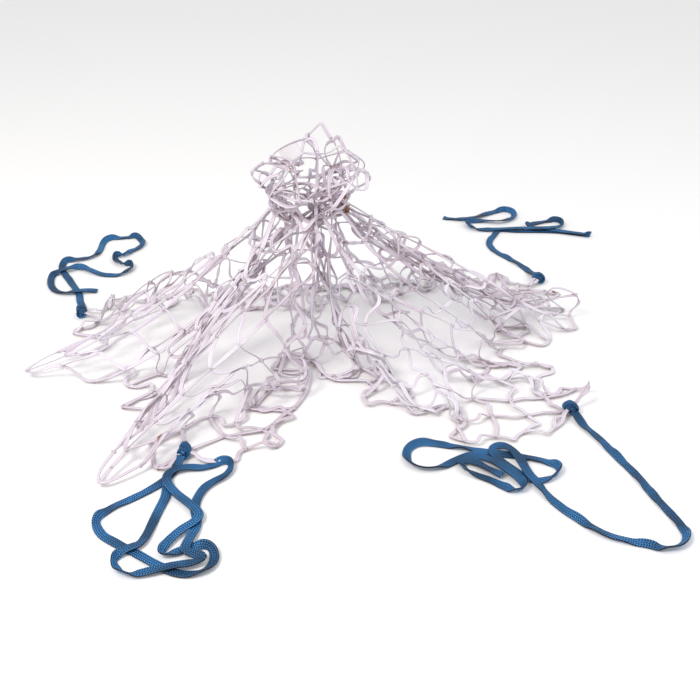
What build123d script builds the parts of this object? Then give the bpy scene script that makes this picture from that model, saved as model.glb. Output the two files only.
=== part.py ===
from build123d import *
import math
import os
import numpy as np

# Cargo climbing net: a square net of white cord, picked up by its middle and set down again, so
# that it stands like a tent on four gathered legs. A flat blue tie is knotted to each corner.
# Millimetres, +Z up, floor at z = 0, origin under the middle of the net as it lies.

# ---------------------------------------------------------------- sizes
cells = 22                 # meshes along each side of the net
mesh_bar = 66.0            # cord from knot to knot
cord_width = 7.0           # the net's flat cord
cord_thick = 2.5
net_knot = 11.0            # across one knot of the net
knot_grip = 1.0            # how far a bar's end reaches into its knot
crown_height = 420.0       # top of the gathered middle
neck_height = 285.0        # where the gathered middle ends and the legs begin
neck_radius = 54.0
crown_radius = 84.0
neck_ring = 4              # rings of meshes that are bunched up in the crown
tie_width = 15.0           # the blue flat braid
tie_thick = 3.0
tie_knot_across = 25.0     # the hitch that holds a tie to its corner
tie_knot_long = 32.0
tie_drop = 14.0            # how far out of its knot a tie has begun to bend down
hank_height = 16.0         # a bunched tie is about one braid width high
label_wide = 36.0          # blank sewn label on the crown
label_tall = 27.0
label_thick = 1.2
clearance = 0.4            # between cords that lie side by side
tie_clearance = 3.0        # between the net and a tie

net_side = cells * mesh_bar
cord_round = math.sqrt(4 * cord_width * cord_thick / math.pi)    # round cord of the same section
tie_round = math.sqrt(4 * tie_width * tie_thick / math.pi)

# ---------------------------------------------------------------- how the net lies
# Places are shares of the net's side, so the tent keeps its shape when the net's size changes.
peak = (-0.005, 0.066)

# The outer edge of the net, from the back left corner round by the front. The first number
# counts sides: 0 back left, 1 front left, 2 front right, 3 back right.
edge_line = [
    (0.00, -0.335, 0.125), (0.27, -0.384, -0.048), (0.50, -0.222, -0.095),
    (0.74, -0.241, -0.291), (1.00, -0.139, -0.213), (1.16, -0.046, -0.176),
    (1.38, -0.020, 0.010), (1.55, 0.073, -0.060), (1.70, 0.133, -0.122),
    (1.84, 0.199, -0.181), (1.93, 0.272, -0.160), (2.00, 0.315, -0.124),
    (2.42, 0.292, 0.046), (2.72, 0.384, 0.124), (3.00, 0.335, 0.235),
    (3.25, 0.206, 0.253), (3.50, 0.010, 0.196), (3.78, -0.196, 0.190),
]

# Each gathered leg: its place along the edge, how much of the edge it gathers, how far down it
# holds together, and its line from the neck to the floor (x and y as above, z in neck heights).
legs = [
    (0.50, 0.36, 0.85, [(-0.003, 0.066, 1.0), (-0.110, -0.010, 0.48), (-0.205, -0.080, 0.03)]),
    (1.62, 0.24, 0.90, [(-0.003, 0.066, 1.0), (0.012, 0.040, 0.42), (0.045, -0.020, 0.10),
                        (0.160, -0.120, 0.03)]),
    (2.70, 0.34, 0.95, [(-0.003, 0.066, 1.0), (0.120, 0.070, 0.62), (0.270, 0.080, 0.15),
                        (0.340, 0.110, 0.02)]),
    (3.99, 0.12, 0.97, [(-0.003, 0.066, 1.0), (-0.170, 0.098, 0.50), (-0.335, 0.125, 0.02)]),
]
leg_hold = 0.95            # how firmly a leg is gathered
leg_grip = 0.10            # how firmly its tangled cords keep it gathered as it settles
leg_fold = 0.42            # a gathered cord folds to and fro by this share of a bar
edge_holds = [0.25, 0.75, 1.20, 1.55, 1.85, 2.70]    # where the edge was pulled out by hand

# ---------------------------------------------------------------- how the ties lie
# All points are measured from the middle of the tie's own knot, x and y, and the tail lies on
# the floor. lean is the direction of the knot, in degrees. The hank is the outline of the
# bunched part.
floor_z = tie_round / 2 + 0.2
ties = {
    "front_left": dict(
        lean=258,
        tail=[(-11, -47), (-31, -82), (-63, -112), (-97, -138), (-112, -168), (-98, -197),
              (-70, -218), (-40, -236)],
        hank=[(-50, -222), (-52, -272), (-10, -294), (48, -292), (86, -276), (86, -232), (62, -198),
              (60, -146), (66, -104), (90, -66), (86, -36), (60, -30), (34, -48), (8, -66),
              (-12, -92), (-10, -134), (-24, -190)]),
    "front_right": dict(
        lean=286,
        tail=[(18, -50), (36, -84), (50, -128), (72, -180), (86, -238), (103, -286), (112, -324),
              (100, -352), (74, -362), (48, -350), (22, -342), (-6, -331), (-32, -306),
              (-58, -274), (-78, -240), (-92, -204)],
        hank=[(-300, -154), (-286, -116), (-250, -98), (-190, -106), (-128, -96), (-90, -126),
              (-50, -162), (-54, -196), (-90, -214), (-111, -233), (-146, -224), (-182, -194),
              (-228, -176), (-284, -174)]),
    "back_left": dict(
        lean=102,
        tail=[(-9, 42), (-18, 60), (-24, 84), (-32, 106)],
        hank=[(-117, 190), (-98, 122), (-72, 98), (-20, 100), (12, 88), (18, 124), (52, 168),
              (68, 226), (76, 342), (44, 404), (-20, 394), (-44, 354), (-44, 302), (-98, 270)]),
    "back_right": dict(
        lean=104,
        tail=[(-12, 50), (-24, 82), (-48, 120), (-74, 158), (-86, 196), (-78, 230), (-62, 262),
              (-52, 290)],
        hank=[(-184, 350), (-112, 384), (-20, 410), (14, 372), (95, 346), (122, 310), (172, 258),
              (160, 236), (94, 260), (-24, 262), (-132, 278), (-178, 330)]),
}
corner_share = {"back_left": 0, "front_left": 1, "front_right": 2, "back_right": 3}


def along_edge(share):
    """Where the net's outer edge lies, share sides round from the back left corner."""
    share = share % 4.0
    line = edge_line + [(4.0, edge_line[0][1], edge_line[0][2])]
    for before, after in zip(line, line[1:]):
        if before[0] <= share <= after[0]:
            w = (share - before[0]) / (after[0] - before[0])
            w = (w * w * (3 - 2 * w) + w) / 2
            return [(before[k] + (after[k] - before[k]) * w) * net_side for k in (1, 2)]
    raise ValueError(share)


def edge_share(u, v):
    """The share of the edge that a knot looks out to; u and v run from -1 to 1 over the net."""
    most = max(abs(u), abs(v))
    if most == 0:
        return 0.0
    u, v = u / most, v / most
    if u < -0.999999:
        return (1 - v) / 2
    if v < -0.999999:
        return 1 + (u + 1) / 2
    if u > 0.999999:
        return 2 + (v + 1) / 2
    return 3 + (1 - u) / 2


def unevenness(i, j, k):
    """A fixed number from -0.5 to 0.5 for each knot, so that no two meshes lie alike."""
    wave = math.sin(12.9898 * i + 78.233 * j + 37.719 * k) * 437.585
    return wave - math.floor(wave) - 0.5


def leg_holds(i, j):
    """How firmly each gathered leg holds knot i, j, from 0 to 1."""
    half = cells / 2
    u, v = (i - half) / half, (j - half) / half
    down = (max(abs(u), abs(v)) * half - neck_ring) / (half - neck_ring)
    holds = []
    for middle, spread, stop, line in legs:
        aside = (edge_share(u, v) - middle + 2) % 4 - 2
        lower = max(down / stop, 0)
        holds.append(leg_hold * math.exp(-(aside / spread) ** 4) * max(0.0, 1 - lower ** 5))
    return holds


def first_place(i, j):
    """A rough place for knot i, j: in the crown, or on the tent between neck and edge."""
    half = cells / 2
    px, py = peak[0] * net_side, peak[1] * net_side
    u, v = (i - half) / half, (j - half) / half
    ring = max(abs(u), abs(v)) * half
    share = edge_share(u, v)
    edge_x, edge_y = along_edge(share)
    facing = math.atan2(edge_y - py, edge_x - px)
    if ring <= neck_ring:
        out = ring / neck_ring
        bulge = crown_radius * math.sin(math.pi * out ** 0.7) * (0.75 + 0.8 * unevenness(i, j, 1))
        radius = neck_radius * out * out + bulge
        rise = (crown_height - neck_height) * (1 - out) * (0.85 + 0.9 * unevenness(i, j, 2))
        turn = facing + unevenness(i, j, 3)
        return [px + radius * math.cos(turn), py + radius * math.sin(turn), neck_height + rise]
    down = (ring - neck_ring) / (half - neck_ring)
    x = px + neck_radius * math.cos(facing)
    y = py + neck_radius * math.sin(facing)
    x += (edge_x - x) * down
    y += (edge_y - y) * down
    z = neck_height * (1 - down) ** 1.15
    # A cord that is gathered folds to and fro along the leg, one bar down and the next one up.
    folds = -1 if (j if abs(u) >= abs(v) else i) % 2 else 1
    for (middle, spread, stop, line), hold in zip(legs, leg_holds(i, j)):
        step = min(down / stop, 1.0) * (len(line) - 1)
        k = min(int(step), len(line) - 2)
        leg = [line[k][c] + (line[k + 1][c] - line[k][c]) * (step - k) for c in range(3)]
        run = [(line[k + 1][c] - line[k][c]) * (net_side, net_side, neck_height)[c] for c in range(3)]
        back = folds * leg_fold * mesh_bar / math.sqrt(run[0] ** 2 + run[1] ** 2 + run[2] ** 2)
        x += (leg[0] * net_side + run[0] * back - x) * hold
        y += (leg[1] * net_side + run[1] * back - y) * hold
        z += (leg[2] * neck_height + run[2] * back - z) * hold
    loose = mesh_bar / 3
    return [x + loose * unevenness(i, j, 4), y + loose * unevenness(i, j, 5),
            max(z, cord_round) + loose * abs(unevenness(i, j, 6))]


def knot_number(i, j):
    return i * (cells + 1) + j


def grid_links(step_i, step_j):
    """Pairs of knots that are step_i and step_j apart in the net."""
    span = range(cells + 1)
    return np.array([(knot_number(i, j), knot_number(i + step_i, j + step_j))
                     for i in span for j in span
                     if i + step_i <= cells and 0 <= j + step_j <= cells])


def lengths(gap):
    return np.sqrt(gap[:, 0] ** 2 + gap[:, 1] ** 2 + gap[:, 2] ** 2) + 1e-9


def link_moves(place, links, shortest, longest, give):
    """Moves that bring linked knots between a shortest and a longest distance."""
    gap = place[links[:, 1]] - place[links[:, 0]]
    far = lengths(gap)
    off = np.where(far > longest, far - longest, 0) + give * np.where(far < shortest, far - shortest, 0)
    return gap * (off / far / 2)[:, None], off != 0


def neighbours(place, bars, reach):
    """Pairs of bars that are near each other and share no knot."""
    middle = (place[bars[:, 0]] + place[bars[:, 1]]) / 2
    a, b = np.triu_indices(len(bars), 1)
    gap = np.abs(middle[a] - middle[b])
    near = (gap[:, 0] < reach) & (gap[:, 1] < reach) & (gap[:, 2] < reach)
    a, b = a[near], b[near]
    joined = np.zeros(len(a), bool)
    for m in (0, 1):
        for n in (0, 1):
            joined |= bars[a, m] == bars[b, n]
    return a[~joined], b[~joined]


def nearest_points(place, bars, a, b):
    """Where each pair of straight bars comes closest: the two shares along them and the gap."""
    start_a, start_b = place[bars[a, 0]], place[bars[b, 0]]
    run_a, run_b = place[bars[a, 1]] - start_a, place[bars[b, 1]] - start_b

    def dot(p, q):
        return p[:, 0] * q[:, 0] + p[:, 1] * q[:, 1] + p[:, 2] * q[:, 2]

    apart = start_a - start_b
    aa, bb, ab = dot(run_a, run_a), dot(run_b, run_b), dot(run_a, run_b)
    a_apart, b_apart = dot(run_a, apart), dot(run_b, apart)
    on_a = np.clip((ab * b_apart - a_apart * bb) / np.maximum(aa * bb - ab * ab, 1e-6), 0, 1)
    on_b = np.clip((ab * on_a + b_apart) / bb, 0, 1)
    on_a = np.clip((ab * on_b - a_apart) / aa, 0, 1)
    gap = apart + run_a * on_a[:, None] - run_b * on_b[:, None]
    return on_a, on_b, gap, lengths(gap)


def tail_line(base, tie):
    """The points of a tie's tail: out of the middle of its knot's end, then down to the floor."""
    lean = math.radians(tie["lean"])
    points = [(base[0] + far * math.cos(lean), base[1] + far * math.sin(lean), base[2] - drop)
              for far, drop in ((tie_knot_long / 2, 0), (tie_knot_long / 2 + tie_drop, 3))]
    return points + [(base[0] + x, base[1] + y, floor_z) for x, y in tie["tail"]]


def settle(place, held, tie_points, tie_runs):
    """Let the net hang from its crown and lie on the floor, with no cord longer than it is."""
    count = len(place)
    bars = np.vstack([grid_links(0, 1), grid_links(1, 0)])
    seconds = np.vstack([grid_links(0, 2), grid_links(2, 0)])
    holds = np.array([max(leg_holds(i, j)) for i in range(cells + 1) for j in range(cells + 1)])
    gathered = holds > 0.35
    opened = seconds[~(gathered[seconds[:, 0]] & gathered[seconds[:, 1]])]
    corners = np.vstack([grid_links(1, 1), grid_links(1, -1)])
    half = cells / 2
    span = range(cells + 1)
    ring = np.array([max(abs(i - half), abs(j - half)) for i in span for j in span])
    share = np.array([edge_share((i - half) / half, (j - half) / half) for i in span for j in span])
    hangs = ring > neck_ring
    pulled = np.where(ring == neck_ring, 0.10, np.where(ring < neck_ring, 0.02, 0.0))
    gripped = leg_grip * hangs * holds
    for hold in edge_holds:
        pulled[np.argmin(np.where(ring == half, np.abs(share - hold), 9))] = 0.15
    lowest = cord_round / 2 + clearance
    lowest_knot = net_knot / 2
    wanted = place.copy()
    solids = np.vstack([bars, tie_runs + count])
    thick = np.concatenate([np.full(len(bars), cord_round / 2),
                            np.full(len(tie_runs), tie_round / 2 + tie_clearance)])
    drape_steps = 900
    part_steps = 800
    last_steps = 140
    for step in range(drape_steps + part_steps):
        move = np.zeros_like(place)
        hits = np.full(count, 1e-9)
        for links, shortest, longest, give in (
                (bars, 0.80 * mesh_bar, 0.985 * mesh_bar, 0.30),
                (bars, 0.40 * mesh_bar, 9 * mesh_bar, 1.0),
                (opened, 1.10 * mesh_bar, 9 * mesh_bar, 0.10),
                (opened, 0.90 * mesh_bar, 9 * mesh_bar, 0.60),
                (seconds, 0.35 * mesh_bar, 9 * mesh_bar, 0.60),
                (corners, 0.20 * mesh_bar, 9 * mesh_bar, 0.30)):
            shift, on = link_moves(place, links, shortest, longest, give)
            np.add.at(move, links[:, 0], shift)
            np.add.at(move, links[:, 1], -shift)
            np.add.at(hits, links[on, 0], 1)
            np.add.at(hits, links[on, 1], 1)
        if step >= drape_steps:
            everything = np.vstack([place, tie_points])
            if (step - drape_steps) % 20 == 0:
                a, b = neighbours(everything, solids, mesh_bar + 2 * tie_round)
                net_bar = a < len(bars)
                a, b = a[net_bar], b[net_bar]
                need = thick[a] + thick[b] + clearance
                p, q = np.triu_indices(count, 1)
                near = np.abs(place[p] - place[q]).max(axis=1) < 2 * net_knot
                p, q = p[near], q[near]
            on_a, on_b, gap, far = nearest_points(everything, solids, a, b)
            on = far < need
            shift = gap[on] * ((need[on] - far[on]) / far[on] * 0.75)[:, None]
            for bar, where, way in ((a, on_a, 1), (b, on_b, -1)):
                moved = bar[on] < len(bars)
                for end in (0, 1):
                    part = where[on] if end else 1 - where[on]
                    knots = solids[bar[on], end][moved]
                    np.add.at(move, knots, way * (shift * part[:, None])[moved])
                    np.add.at(hits, knots, 0.5)
            gap = place[q] - place[p]
            far = lengths(gap)
            off = np.where(far < net_knot + clearance, far - net_knot - clearance, 0)
            shift = gap * (off / far / 2)[:, None]
            np.add.at(move, p, shift)
            np.add.at(move, q, -shift)
        place = place + move / np.maximum(hits, 1)[:, None] * 1.3
        place += (wanted - place) * 0.03 * max(0.0, 1 - step / drape_steps)
        place[:, 2] -= 0.10 * hangs
        place[:, 2] = np.maximum(place[:, 2], lowest_knot if step > drape_steps else lowest)
        place += (wanted - place) * pulled[:, None]
        if step < drape_steps + part_steps - last_steps:
            place += (wanted - place) * gripped[:, None]
        place[held] = wanted[held]
    # Last, the few knots that still press into each other are set side by side.
    for step in range(60):
        gap = place[q] - place[p]
        far = lengths(gap)
        off = np.where(far < net_knot + clearance, far - net_knot - clearance, 0)
        np.add.at(place, p, gap * (off / far / 2)[:, None])
        np.add.at(place, q, -gap * (off / far / 2)[:, None])
        place[:, 2] = np.maximum(place[:, 2], lowest_knot)
        place[held] = wanted[held]
    return np.round(place, 2)


# ---------------------------------------------------------------- the net settled
corner_knots = {
    "back_left": knot_number(0, cells), "front_left": knot_number(0, 0),
    "front_right": knot_number(cells, 0), "back_right": knot_number(cells, cells),
}
knots = np.round([first_place(i, j) for i in range(cells + 1) for j in range(cells + 1)], 2)
for corner, number in corner_knots.items():
    x, y = along_edge(corner_share[corner])
    knots[number] = [round(x), round(y), tie_knot_across / 2]

tie_points = []
tie_runs = []
for corner, tie in ties.items():
    base = knots[corner_knots[corner]]
    outline = [(base[0] + x, base[1] + y, floor_z) for x, y in tie["hank"] + tie["hank"][:1]]
    for path in (tail_line(base, tie), outline):
        first = len(tie_points)
        tie_points += path
        tie_runs += [(first + k, first + k + 1) for k in range(len(path) - 1)]
knots = settle(knots, list(corner_knots.values()), np.array(tie_points), np.array(tie_runs))

reach = np.full(len(knots), net_knot / 2)
reach[list(corner_knots.values())] = tie_knot_across / 2
middle = ((knots - reach[:, None]).min(axis=0) + (knots + reach[:, None]).max(axis=0)) / 2
knots[:, :2] = np.round(knots[:, :2] - middle[:2], 1)

os.makedirs("parts", exist_ok=True)


def bar_between(start, end):
    """One straight bar of cord, from inside one knot to inside the next."""
    gap = Vector(*end) - Vector(*start)
    inset = net_knot / 2 - knot_grip
    with BuildPart() as bar:
        with BuildSketch(Plane(origin=Vector(*start) + gap.normalized() * inset, z_dir=gap)):
            Circle(cord_round / 2)
        extrude(amount=gap.length - 2 * inset)
    return bar.part.solid()


def write(part, name):
    part.label = name
    export_step(part, f"parts/{name}.step")


# ---------------------------------------------------------------- cords of the net
# A lengthwise cord runs from front to back, a crosswise cord from left to right. The first and
# the last of each are the net's edge cords. Bars stay solids of their own, however close.
for number in range(cells + 1):
    for way in ("lengthwise", "crosswise"):
        if way == "lengthwise":
            line = [knots[knot_number(number, j)] for j in range(cells + 1)]
        else:
            line = [knots[knot_number(i, number)] for i in range(cells + 1)]
        bars = [bar_between(a, b) for a, b in zip(line, line[1:])]
        kind = "edge" if number in (0, cells) else "cord"
        write(Compound(bars), f"{kind}_{way}_{number:02d}")

# ---------------------------------------------------------------- knots of the net
# A knot is a small barrel: the turns of one cord round the other.
with BuildPart() as net_knot_shape:
    with BuildSketch():
        Circle(net_knot / 2)
    extrude(amount=net_knot / 2, both=True)
    chamfer(net_knot_shape.edges(), length=net_knot / 4)
one_knot = net_knot_shape.part.solid()
inner = [Pos(*knots[k]) * one_knot for k in range(len(knots)) if k not in corner_knots.values()]
write(Compound(inner), "net_knots")

# ---------------------------------------------------------------- ties
for corner, tie in ties.items():
    base = Vector(*knots[corner_knots[corner]])
    lean = Vector(math.cos(math.radians(tie["lean"])), math.sin(math.radians(tie["lean"])), 0)
    with BuildPart() as hitch:
        with BuildSketch(Plane(origin=base, z_dir=lean)):
            Circle(tie_knot_across / 2)
        extrude(amount=tie_knot_long / 2, both=True)
        fillet(hitch.edges(), radius=tie_knot_across / 3)
    write(hitch.part, f"tie_knot_{corner}")

    points = [Vector(*point) for point in tail_line(knots[corner_knots[corner]], tie)]
    runs = [after - before for before, after in zip(points, points[1:])]
    turns = [before.get_angle(after) for before, after in zip(runs, runs[1:])]
    radii = [0.45 * min(before.length, after.length) / math.tan(math.radians(turn) / 2)
             for before, after, turn in zip(runs, runs[1:], turns)]
    with BuildPart() as tail:
        with BuildLine() as route:
            FilletPolyline(*points, radius=radii)
        with BuildSketch(Plane(origin=points[0], z_dir=runs[0])):
            Circle(tie_round / 2)
        sweep()
    write(tail.part, f"tie_tail_{corner}")
    length = sum(edge.length for edge in route.edges())
    solid_share = tail.part.volume / (math.pi * tie_round ** 2 / 4 * length)
    print(f"tie {corner}: tail {length:.0f} long, volume {solid_share:.3f} of section x length,",
          "turns", [round(turn) for turn in turns], "radii", [round(radius) for radius in radii])

    with BuildPart() as hank:
        with BuildSketch(Plane.XY.offset(0.2)):
            with BuildLine():
                Spline(*[(base.X + x, base.Y + y) for x, y in tie["hank"]], periodic=True)
            make_face()
        extrude(amount=hank_height)
    write(hank.part, f"tie_hank_{corner}")

# ---------------------------------------------------------------- blank label on the crown
# The label is folded over one bar at the top front of the crown and sewn shut under it.
half = cells // 2
crown_bars = [(knot_number(i, j), knot_number(i + 1, j))
              for i in range(half - neck_ring, half + neck_ring)
              for j in range(half - neck_ring, half + neck_ring + 1)]


def label_fit(pair):
    a, b = knots[pair[0]], knots[pair[1]]
    run = b - a
    level = abs(run[0]) / math.sqrt(run[0] ** 2 + run[1] ** 2 + run[2] ** 2)
    from_top = abs((a[1] + b[1]) / 2 - peak[1] * net_side)
    return (a[2] + b[2]) / 2 - 0.4 * from_top + 30 * level


label_bar = max(crown_bars, key=label_fit)
bar_start, bar_end = [Vector(*knots[k]) for k in label_bar]
if bar_start.X > bar_end.X:
    bar_start, bar_end = bar_end, bar_start
along = (bar_end - bar_start).normalized()
outward = Vector(0, -0.8, 0.6)
outward = (outward - along * outward.dot(along)).normalized()
label_plane = Plane(origin=(bar_start + bar_end) * 0.5 + outward * (cord_round / 2), x_dir=along,
                    z_dir=outward)
with BuildPart() as label:
    with BuildSketch(label_plane):
        with Locations((0, -label_tall / 2 + cord_round / 2)):
            RectangleRounded(label_wide, label_tall, 1.5)
    extrude(amount=label_thick)
write(label.part, "blank_label")

stretch = [(knots[b] - knots[a]) for a, b in np.vstack([grid_links(0, 1), grid_links(1, 0)])]
stretch = np.sqrt((np.array(stretch) ** 2).sum(axis=1)) / mesh_bar
print(f"net {net_side:.0f} flat, bars {len(stretch)}, knots {len(knots)}, distance between knots",
      f"{stretch.min():.2f} to {stretch.max():.2f} of a bar, middle {np.median(stretch):.2f}")
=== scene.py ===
import math
import random

import bpy
import numpy as np
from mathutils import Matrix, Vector


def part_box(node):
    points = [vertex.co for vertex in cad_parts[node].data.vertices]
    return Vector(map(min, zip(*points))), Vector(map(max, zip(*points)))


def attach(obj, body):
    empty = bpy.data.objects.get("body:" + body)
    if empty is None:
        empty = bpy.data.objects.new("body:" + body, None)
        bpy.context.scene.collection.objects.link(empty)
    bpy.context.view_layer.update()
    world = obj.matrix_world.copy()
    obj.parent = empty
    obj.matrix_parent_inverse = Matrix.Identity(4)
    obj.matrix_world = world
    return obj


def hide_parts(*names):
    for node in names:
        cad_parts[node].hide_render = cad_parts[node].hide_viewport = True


# Cargo climbing net with four blue ties, lying in a heap on the floor.
# Metres, Z up, front is -Y. The CAD net gives the knots, everything shown is built on them.

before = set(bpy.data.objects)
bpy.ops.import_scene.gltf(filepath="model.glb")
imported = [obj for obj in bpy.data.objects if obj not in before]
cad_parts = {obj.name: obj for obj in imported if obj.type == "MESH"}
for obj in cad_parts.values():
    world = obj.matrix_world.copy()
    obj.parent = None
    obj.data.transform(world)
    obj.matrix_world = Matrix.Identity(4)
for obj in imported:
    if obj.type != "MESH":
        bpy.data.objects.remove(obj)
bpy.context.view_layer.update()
cells = 22                           # meshes along each side of the net
fullTurn = 6.28                      # the range that random angles are drawn from
floorGap = 0.0003                    # nothing is drawn lower than this
print("scene: frame in")

# The camera stands in front of the net and looks 30 degrees down.
camData = bpy.data.cameras.new("camera")
camData.lens = 51.43
camData.sensor_width = 36.0
camData.dof.use_dof = False
camera = bpy.data.objects.new("camera", camData)
camera.location = (0.0711, -1.6498, 0.977)
camera.rotation_euler = (math.radians(60.0), 0.0, 0.0)
bpy.context.scene.collection.objects.link(camera)
bpy.context.scene.camera = camera


def linear(code):
    parts = [int(code[k:k + 2], 16) / 255 for k in (1, 3, 5)]
    return tuple(c / 12.92 if c <= 0.04045 else ((c + 0.055) / 1.055) ** 2.4 for c in parts) + (1.0,)


def addNode(tree, kind, inputs=None, **settings):
    # inputs: a socket name or number -> a value, or another node's output to link
    node = tree.nodes.new(kind)
    for key, value in settings.items():
        setattr(node, key, value)
    for key, value in (inputs or {}).items():
        if isinstance(value, bpy.types.NodeSocket):
            tree.links.new(value, node.inputs[key])
        else:
            node.inputs[key].default_value = value
    return node


def newMaterial(name):
    material = bpy.data.materials.new(name)
    material.use_nodes = True
    tree = material.node_tree
    tree.nodes.clear()
    shader = addNode(tree, "ShaderNodeBsdfPrincipled")
    out = addNode(tree, "ShaderNodeOutputMaterial", {"Surface": shader.outputs[0]})
    out.location = (600, 0)
    return material, tree, shader


def ramp(tree, factor, stops):
    node = addNode(tree, "ShaderNodeValToRGB", {0: factor})
    line = node.color_ramp
    while len(line.elements) < len(stops):
        line.elements.new(0.5)
    for element, (place, code) in zip(line.elements, stops):
        element.position = place
        element.color = linear(code)
    return node.outputs[0]


def meshObject(name, points, faces, material, uvs):
    mesh = bpy.data.meshes.new(name)
    mesh.from_pydata([tuple(p) for p in points], [], [tuple(f) for f in faces])
    layer = mesh.uv_layers.new(name="braid")
    order = np.empty(len(mesh.loops), dtype=np.int32)
    mesh.loops.foreach_get("vertex_index", order)
    layer.data.foreach_set("uv", np.asarray(uvs, dtype=np.float32)[order].ravel())
    mesh.polygons.foreach_set("use_smooth", [True] * len(mesh.polygons))
    mesh.materials.append(material)
    mesh.update()
    obj = bpy.data.objects.new(name, mesh)
    bpy.context.scene.collection.objects.link(obj)
    return obj


def unit(v):
    return v / np.maximum(np.linalg.norm(v, axis=-1, keepdims=True), 1e-12)


def tubeFaces(rings, around, first=0):
    # quads between rings of points, and one flat face to close each end
    k = np.arange(rings - 1)[:, None] * around + np.arange(around)[None] + first
    n = np.arange(rings - 1)[:, None] * around + (np.arange(around)[None] + 1) % around + first
    quads = np.stack([k, n, n + around, k + around], axis=-1).reshape(-1, 4).tolist()
    last = first + (rings - 1) * around
    quads.append([first + m for m in range(around)][::-1])
    quads.append([last + m for m in range(around)])
    return quads


def alongPath(points):
    return np.concatenate([[0.0], np.cumsum(np.linalg.norm(np.diff(points, axis=0), axis=1))])


# The braids are drawn on UVs kept in millimetres, along the cord and across it.

def braidPattern(tree, repeat, rows, width):
    # chevrons: each lengthwise row slants the other way, so two rows make a V
    uv = addNode(tree, "ShaderNodeUVMap", uv_map="braid")
    axes = addNode(tree, "ShaderNodeSeparateXYZ", {0: uv.outputs[0]})
    across = addNode(tree, "ShaderNodeMath", {0: axes.outputs[1], 1: rows / width},
                     operation="MULTIPLY").outputs[0]
    fold = addNode(tree, "ShaderNodeMath", {0: across, 1: 1.0}, operation="PINGPONG").outputs[0]
    slant = addNode(tree, "ShaderNodeMath", {0: fold, 1: 0.9}, operation="MULTIPLY").outputs[0]
    along = addNode(tree, "ShaderNodeMath", {0: axes.outputs[0], 1: 1.0 / repeat},
                    operation="MULTIPLY").outputs[0]
    both = addNode(tree, "ShaderNodeMath", {0: along, 1: slant}, operation="ADD").outputs[0]
    turn = addNode(tree, "ShaderNodeMath", {0: both, 1: 2 * math.pi}, operation="MULTIPLY").outputs[0]
    wave = addNode(tree, "ShaderNodeMath", {0: turn}, operation="SINE").outputs[0]
    strand = addNode(tree, "ShaderNodeMapRange", {0: wave, 1: -1.0, 2: 1.0}).outputs[0]
    # the groove between two rows
    edge = addNode(tree, "ShaderNodeMath", {0: fold, 1: 0.5}, operation="SUBTRACT").outputs[0]
    edge = addNode(tree, "ShaderNodeMath", {0: edge}, operation="ABSOLUTE").outputs[0]
    groove = addNode(tree, "ShaderNodeMapRange", {0: edge, 1: 0.3, 2: 0.48, 3: 1.0, 4: 0.25}).outputs[0]
    return strand, groove


# White flat braided nylon. The fibre is slightly see-through and has a soft sheen, so the cord glows a little
# at its edges; where the strands lie close together a pinkish-brown painted shade darkens its colour.
netLook = {"clean": "#EAE4EF", "handled": "#D6C9D6", "heapShade": "#94716C", "stain": "#8E5B43",
           "rough": 0.52, "ior": 1.53, "sheen": 0.2, "seeThrough": 0.12,
           "width": 7.0, "rows": 2, "repeat": 4.2,      # mm across, lengthwise rows, mm for one braid repeat
           "patchScale": 7.0, "spotScale": 23.0,        # per metre: cells of 14 cm and 4 cm
           "shadeReach": 0.022, "bump": 0.0004}         # metres


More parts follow.
